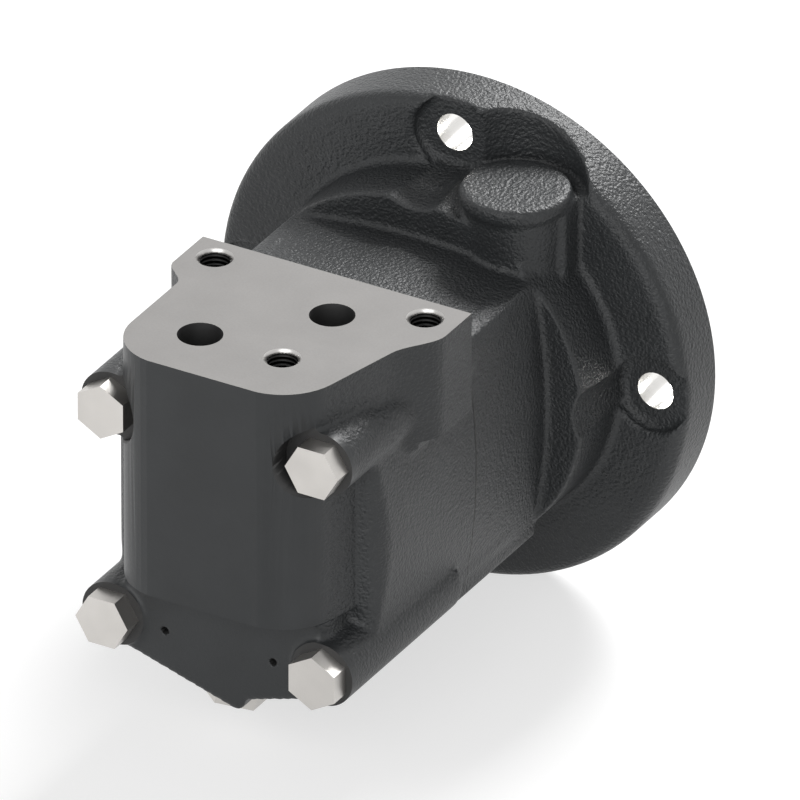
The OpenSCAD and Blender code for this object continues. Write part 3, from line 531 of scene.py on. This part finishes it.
def trimmed_housing():
    """The port housing's copy with lower bolt tubes that end short of the parting, and shallower ears."""
    outer = 62
    rims = []
    for sx in (-1, 1):
        low, high = sorted((sx * 44, sx * outer))
        rim = block("tube_rim", (low, TUBE_FRONT, -58), (high, PARTING + 1, -28))
        crown = bar("crown", (sx * (BODY_HALF - CROWN), -130, 0), ALONG, CROWN, 60, sides=720)
        rims.append(combined(rim, [crown], "DIFFERENCE"))
        low, high = sorted((sx * (BODY_HALF + 0.7), sx * outer))
        rims.append(block("ear_rim", (low, -150, 20), (high, -90, EAR_BOTTOM)))
    return combined(copy_of("port_housing", "skin_rear"), rims, "DIFFERENCE")


def soft_skin(voxel, passes):
    """Both castings as one closed skin with rounded edges and joints, and a crisp port block over it."""
    foot = block("foot", (-FOOT_HALF, TUBE_FRONT, -BODY_HALF), (FOOT_HALF, COLLAR + 2.5, -40))
    parts = [copy_of("front_casting", "skin_front"), trimmed_housing(), foot,
             port_block("skin_block", SKIN_STOCK, 0)] + stock()
    ob = joined(parts, "soft_skin")
    skin = ob.modifiers.new("Skin", "REMESH")
    skin.mode = "VOXEL"
    skin.voxel_size = voxel * MM
    finish_modifier(ob, skin)
    blur = ob.modifiers.new("Soften", "SMOOTH")
    blur.factor = 0.5
    blur.iterations = passes
    finish_modifier(ob, blur)
    crisp = [port_block("crisp_block", CRISP_STOCK, CRISP_GROWTH)]
    crisp += [bar("hole_stock", (x, y, PORT_FACE + 4), DOWN, CHAMFER_R, 40) for x, y in PORTS + TAPPED]
    for piece in [ob] + crisp:
        piece.data.materials.clear()
        piece.data.materials.append(FINISHES["paint"])
    return combined(ob, crisp, "UNION")


def front_cutters():
    """Turned faces and bores, flange holes and tapped holes of the front casting."""
    outline = [
        (0, 40), (120, 40), (120, 0), (SPIGOT_R, 0), (SPIGOT_R, SPIGOT - SPIGOT_CHAMFER),
        (SPIGOT_R - SPIGOT_CHAMFER, SPIGOT), (SEAL_BORE_R, SPIGOT), (SEAL_BORE_R, RING_SEAT + RING_GROOVE_W),
        (RING_GROOVE_R, RING_SEAT + RING_GROOVE_W), (RING_GROOVE_R, RING_SEAT), (SEAL_BORE_R, RING_SEAT),
        (SEAL_BORE_R, SEAL_SEAT), (NOSE_BORE_R, SEAL_SEAT), (NOSE_BORE_R, CUP_SEAT), (CUP_BORE_R, CUP_SEAT),
        (CUP_BORE_R, WEAR_FACE), (GEAR_BORE_R, WEAR_FACE), (GEAR_BORE_R, PARTING), (ORING_INNER_R, PARTING),
        (ORING_INNER_R, PARTING + ORING_DEPTH), (ORING_OUTER_R, PARTING + ORING_DEPTH), (ORING_OUTER_R, PARTING),
        (SEAM_R, PARTING), (SEAM_R, PARTING + SEAM), (140, PARTING + SEAM), (140, -230), (0, -230)]
    cutters = [turned("turning", outline, FINISHES["milled"])]
    for sx, sz in QUARTERS:
        start = Vector((MOUNT_R * sx, -60, MOUNT_R * sz))
        cutters.append(bar("flange_drill", start, ALONG, MOUNT_HOLE_R, 80, FINISHES["bore"]))
        cutters.append(bar("scallop", start, ALONG, SCALLOP_R, FLANGE_REAR - start.y, FINISHES["paint"],
                           tip=SCALLOP_FLOOR_R))
    for sx in (-1, 1):
        for sz in (-1, 1):
            start = (sx * BOLT_OFFSET, -100, sz * BOLT_OFFSET)
            # Thread finish: near-black, painted shade inside the tapped holes
            cutters.append(bar("tap_drill", start, ALONG, BOLT_THREAD_R, 31.6, FINISHES["thread"]))
    return cutters


def rear_cutters():
    """Bores, port face, ports, tapped holes, bolt holes and spot-faces of the port housing."""
    paint, milled, spot, thread, channel, edge = (
        FINISHES[key] for key in ("paint", "milled", "spot", "thread", "channel", "edge"))
    outline = [
        (0, 60), (140, 60), (140, PARTING - SEAM), (SEAM_R, PARTING - SEAM), (SEAM_R, PARTING),
        (GEAR_BORE_R, PARTING), (GEAR_BORE_R, CHANNEL_FACE), (CHAMBER_R, CHANNEL_FACE), (CHAMBER_R, CHAMBER_END),
        (BALANCE_R, CHAMBER_END), (BALANCE_R, BALANCE_END), (INNER_R, BALANCE_END), (INNER_R, INNER_END),
        (0, INNER_END)]
    # The channel finish's dark tone is painted shade inside the bored chambers and drilled holes
    cutters = [turned("boring", outline, channel),
               block("facing", (-90, -230, PORT_FACE), (90, -60, PORT_FACE + 30), milled),
               block("rear_facing", (-90, -230, -90), (90, BLOCK_REAR + OVERLAP, 90), paint)]
    for sx in (-1, 1):
        for sz in (-1, 1):
            x, z = sx * BOLT_OFFSET, sz * BOLT_OFFSET
            spot_r = UPPER_SPOT_R if sz > 0 else LOWER_SPOT_R
            # The spot finish lines the pockets' floors and walls; its near-black tone is partly painted shade of
            # the pockets
            cutters.append(bar("spot_facer", (x, -220, z), ALONG, spot_r, 220 + TUBE_END, spot))
            cutters.append(bar("bolt_drill", (x, -200, z), ALONG, BOLT_HOLE_R, 110, channel))
        cutters.append(bar("pin_drill", (sx * PIN_X, -190, PIN_Z), ALONG, PIN_HOLE_R, 16.9, channel, 24))
    above = 80
    for x, y in PORTS:
        cutters.append(bar("port_drill", (x, y, above), DOWN, PORT_R, above - PORT_FACE + PORT_DEPTH, channel))
        start = PORT_FACE - PASSAGE_START
        cutters.append(bar("passage_drill", (x, y, start), DOWN, PASSAGE_R, start, channel))
    for x, y in TAPPED:
        # Thread finish: near-black, painted shade inside the tapped holes
        cutters.append(bar("tap_drill", (x, y, above), DOWN, TAP_R, above - PORT_FACE + TAP_DEPTH, thread))
        cutters.append(bar("chamfer_drill", (x, y, PORT_FACE + 2), DOWN, CHAMFER_R, 4, edge, tip=CHAMFER_END_R))
    for k in (1, 7):
        angle = math.pi * k / 7
        start = (DOWEL_CIRCLE * math.sin(angle), -112.4, DOWEL_CIRCLE * math.cos(angle))
        cutters.append(bar("dowel_drill", start, ALONG, DOWEL_R, 10, channel, 32))
    # Thread finish: near-black, painted shade inside the plug's tapped hole
    cutters.append(bar("plug_drill", PLUG - PLUG_INWARD * 8, PLUG_INWARD, PLUG_THREAD_R, 21, thread))
    cutters.append(bar("drain_drill", PLUG + PLUG_INWARD * 10, PLUG_INWARD, DRAIN_R, 37.4, channel, 32))
    return cutters


# Stage

def seen_rays(tree):
    """1 for camera, glossy and transmission rays, which see the plain white surroundings."""
    rays = add(tree, "ShaderNodeLightPath")
    total = rays.outputs["Is Camera Ray"]
    for name in ("Is Glossy Ray", "Is Transmission Ray"):
        either = add(tree, "ShaderNodeMath", operation="MAXIMUM")
        tree.links.new(total, either.inputs[0])
        tree.links.new(rays.outputs[name], either.inputs[1])
        total = either.outputs[0]
    return total


def show(tree, output, unseen, seen):
    """Shows one shader to the rays that see the surroundings and the other to the rest."""
    pick = add(tree, "ShaderNodeMixShader")
    tree.links.new(seen_rays(tree), pick.inputs[0])
    tree.links.new(unseen.outputs[0], pick.inputs[1])
    tree.links.new(seen.outputs[0], pick.inputs[2])
    tree.links.new(pick.outputs[0], output.inputs["Surface"])


def make_floor():
    """A wide pale floor under the lowest point, white to the camera but for the motor's shadow."""
    bpy.ops.object.select_all(action="DESELECT")
    bpy.ops.mesh.primitive_plane_add(size=12, location=(0, 0, CAD_BOX[0][2] - 0.0002))
    floor = settle(bpy.context.object, "floor")
    mat, tree, bsdf = new_material("pale_floor")
    bsdf.inputs["Base Color"].default_value = (0.45, 0.45, 0.45, 1)
    bsdf.inputs["Roughness"].default_value = 0.9
    bsdf.inputs["Specular IOR Level"].default_value = 0.0
    dull = add(tree, "ShaderNodeBsdfDiffuse", Color=(0.3, 0.3, 0.3, 1))
    glow = add(tree, "ShaderNodeEmission", Strength=0.64)
    total = add(tree, "ShaderNodeAddShader")
    tree.links.new(bsdf.outputs[0], total.inputs[0])
    tree.links.new(glow.outputs[0], total.inputs[1])
    show(tree, tree.nodes["Material Output"], dull, total)
    floor.data.materials.append(mat)


def make_world(scene):
    """Even pale surroundings: white to the camera, softer as light."""
    world = bpy.data.worlds.new("studio")
    scene.world = world
    world.use_nodes = True
    tree = world.node_tree
    tree.nodes.clear()
    output = tree.nodes.new("ShaderNodeOutputWorld")
    light = add(tree, "ShaderNodeBackground", Color=(1, 1, 1, 1), Strength=WORLD_LIGHT)
    seen = add(tree, "ShaderNodeBackground", Color=(1, 1, 1, 1), Strength=WORLD_SEEN)
    show(tree, output, light, seen)


def make_lights():
    """A soft light above and behind, as the camera sees it, and a wide fill from the camera's side."""
    for name, place, size, power in LAMPS:
        lamp = bpy.data.lights.new(name, "AREA")
        lamp.shape = "SQUARE"
        lamp.size = size
        lamp.energy = power
        ob = linked(name, lamp)
        ob.location = place
        ob.rotation_euler = (Vector(LAMP_TARGET) - Vector(place)).to_track_quat("-Z", "Y").to_euler()


def make_camera(scene):
    """The photograph's view."""
    level, rise = math.cos(CAMERA_ANGLE), math.sin(CAMERA_ANGLE)
    back = Vector((rise * level, -level * level, rise))
    cam = bpy.data.cameras.new("camera")
    cam.lens, cam.sensor_width = CAMERA_LENS, CAMERA_SENSOR
    cam.clip_start, cam.clip_end = CAMERA_CLIP
    ob = linked("camera", cam)
    ob.location = CAMERA_TARGET + back * (CAMERA_WIDTH * CAMERA_LENS / CAMERA_SENSOR)
    ob.rotation_euler = (-back).to_track_quat("-Z", "Y").to_euler()
    scene.camera = ob


# Add-on

class MotorProperties(bpy.types.PropertyGroup):
    """Sizes and colours that a user may change before the pieces are made."""
    skin_voxel: FloatProperty(
        name="Casting grid", description="Grid of the castings' soft skin in millimetres",
        default=1.05, min=0.8, max=3.0)
    soft_passes: IntProperty(
        name="Softening", description="Passes that round the castings' inner corners",
        default=5, min=0, max=30)
    paint_roughness: FloatProperty(
        name="Paint roughness", description="Roughness of the black paint",
        default=0.4, min=0.1, max=0.9, subtype="FACTOR")
    grain: FloatProperty(
        name="Grain", description="Strength of the cast grain under the paint",
        default=0.75, min=0, max=1, subtype="FACTOR")
    paint_colour: FloatVectorProperty(
        name="Paint", description="Colour of the castings' paint",
        default=(0.0275, 0.0295, 0.031), size=3, subtype="COLOR", min=0, max=1)
    milled_colour: FloatVectorProperty(
        name="Milled face", description="Colour of the machined iron",
        default=(0.22, 0.215, 0.21), size=3, subtype="COLOR", min=0, max=1)
    # Near-black: partly the spot-faces' own tone, partly painted shade of the bolt pockets
    spot_face_and_pocket_shade_colour: FloatVectorProperty(
        name="Spot faces", description="Colour of the spot-faces under the bolts",
        default=(0.016, 0.016, 0.016), size=3, subtype="COLOR", min=0, max=1)
    bolt_colour: FloatVectorProperty(
        name="Bolts", description="Colour of the zinc-plated bolts",
        default=(0.58, 0.56, 0.535), size=3, subtype="COLOR", min=0, max=1)


class MOTOR_OT_castings(bpy.types.Operator):
    """Makes the two painted castings with soft edges and crisp machined faces"""
    bl_idname = "motor.castings"
    bl_label = "Castings"

    def execute(self, context):
        props = context.scene.motor
        make_finishes(props)
        skin = soft_skin(props.skin_voxel, props.soft_passes)
        rear = linked("port_housing_cast", skin.data.copy())
        skin.name = skin.data.name = "front_casting_cast"
        rear.data.name = rear.name
        casts = ((skin, front_cutters(), "front_casting"), (rear, rear_cutters(), "port_housing"))
        for cast, cutters, node in casts:
            without_slivers(combined(cast, cutters, "DIFFERENCE"))
            smooth_shaded(cast)
            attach(cast, "housing")
            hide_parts(node)
        return {"FINISHED"}


class MOTOR_OT_finishes(bpy.types.Operator):
    """Gives every frame node the finish of its material slot"""
    bl_idname = "motor.finishes"
    bl_label = "Finishes"

    def execute(self, context):
        for entry in frame["record"]["subparts"]:
            node = frame["nodes"][entry["node"]]
            node.data.materials.clear()
            node.data.materials.append(FINISHES[entry["material_slot"]])
        return {"FINISHED"}


class MOTOR_OT_stage(bpy.types.Operator):
    """Sets the floor, the soft studio light and the camera"""
    bl_idname = "motor.stage"
    bl_label = "Stage"

    def execute(self, context):
        make_floor()
        make_world(context.scene)
        make_lights()
        make_camera(context.scene)
        context.scene.view_settings.view_transform = "Standard"
        return {"FINISHED"}


class MOTOR_PT_panel(bpy.types.Panel):
    """Lists the motor's settings and steps"""
    bl_idname = "MOTOR_PT_panel"
    bl_label = "Orbital hydraulic motor"
    bl_space_type = "VIEW_3D"
    bl_region_type = "UI"
    bl_category = "Motor"

    def draw(self, context):
        props = context.scene.motor
        for key in MotorProperties.__annotations__:
            self.layout.prop(props, key)
        for step in STEPS:
            self.layout.operator(step.bl_idname)


STEPS = (MOTOR_OT_castings, MOTOR_OT_finishes, MOTOR_OT_stage)
CLASSES = (MotorProperties, *STEPS, MOTOR_PT_panel)


def register():
    for cls in CLASSES:
        bpy.utils.register_class(cls)
    bpy.types.Scene.motor = PointerProperty(type=MotorProperties)


def unregister():
    del bpy.types.Scene.motor
    for cls in reversed(CLASSES):
        bpy.utils.unregister_class(cls)


def main():
    """Makes everything in order."""
    register()
    bpy.ops.motor.castings()
    bpy.ops.motor.finishes()
    bpy.ops.motor.stage()


if __name__ == "__main__":
    main()
